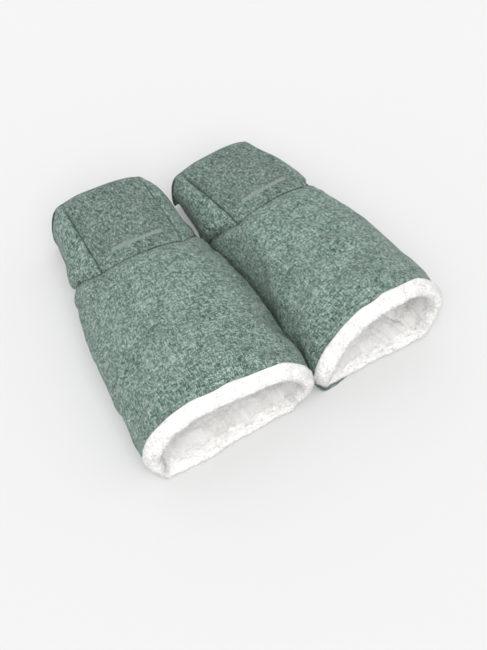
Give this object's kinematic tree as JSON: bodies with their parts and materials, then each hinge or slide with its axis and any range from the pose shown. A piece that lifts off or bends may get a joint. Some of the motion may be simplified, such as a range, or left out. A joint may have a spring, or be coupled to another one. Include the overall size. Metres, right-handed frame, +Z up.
{
  "type": "hand warmer muff",
  "caption": "Padded, fleece-lined hand muffs for a push bar, each with a rolled mouth and a boxed hood whose hinged end flap snaps shut behind the bar.",
  "frame": {"origin": "middle of the pair's footprint, on the surface that the muffs lie on", "axes": "+X along the push bar, from the left muff to the right one; +Y from the mouths to the hoods' far ends; +Z up"},
  "size_m": [0.3648, 0.3404, 0.113],
  "materials": {
    "shell_cloth": "sage-green melange woven polyester, matt",
    "fleece": "off-white teddy fleece, soft pile",
    "wadding": "bonded polyester wadding",
    "snap_metal": "plated press stud, satin"
  },
  "bodies": {
    "left_muff": {"left_sleeve_upper_shell": "shell_cloth", "left_sleeve_base_shell": "shell_cloth", "left_sleeve_wadding": "wadding", "left_sleeve_lining": "fleece", "left_mouth_rim": "fleece", "left_crown_panel": "shell_cloth", "left_gusset_right": "shell_cloth", "left_gusset_left": "shell_cloth", "left_hood_lining": "fleece", "left_tongue": "shell_cloth", "left_tongue_lining": "fleece", "left_snap_stud_1": "snap_metal", "left_snap_post_1": "snap_metal", "left_snap_stud_2": "snap_metal", "left_snap_post_2": "snap_metal"},
    "left_flap": {"left_end_flap": "shell_cloth", "left_flap_lining": "fleece", "left_snap_cap_1": "snap_metal", "left_snap_socket_1": "snap_metal", "left_snap_cap_2": "snap_metal", "left_snap_socket_2": "snap_metal"},
    "right_muff": {"right_sleeve_upper_shell": "shell_cloth", "right_sleeve_base_shell": "shell_cloth", "right_sleeve_wadding": "wadding", "right_sleeve_lining": "fleece", "right_mouth_rim": "fleece", "right_crown_panel": "shell_cloth", "right_gusset_right": "shell_cloth", "right_gusset_left": "shell_cloth", "right_hood_lining": "fleece", "right_tongue": "shell_cloth", "right_tongue_lining": "fleece", "right_snap_stud_1": "snap_metal", "right_snap_post_1": "snap_metal", "right_snap_stud_2": "snap_metal", "right_snap_post_2": "snap_metal"},
    "right_flap": {"right_end_flap": "shell_cloth", "right_flap_lining": "fleece", "right_snap_cap_1": "snap_metal", "right_snap_socket_1": "snap_metal", "right_snap_cap_2": "snap_metal", "right_snap_socket_2": "snap_metal"}
  },
  "joints": [
    {"name": "left_flap_hinge", "type": "hinge", "parent": "left_muff", "child": "left_flap", "pos_m": [-0.06359, 0.14782, 0.083], "axis": [0.9976, -0.0698, 0], "range_deg": [0, 115]},
    {"name": "right_flap_hinge", "type": "hinge", "parent": "right_muff", "child": "right_flap", "pos_m": [0.07939, 0.13585, 0.0795], "axis": [0.9976, 0.0698, 0], "range_deg": [0, 115]},
    {"name": "muff_spacing", "type": "slide", "parent": "left_muff", "child": "right_muff", "axis": [1, 0, 0], "range_m": [0, 0.2]}
  ]
}
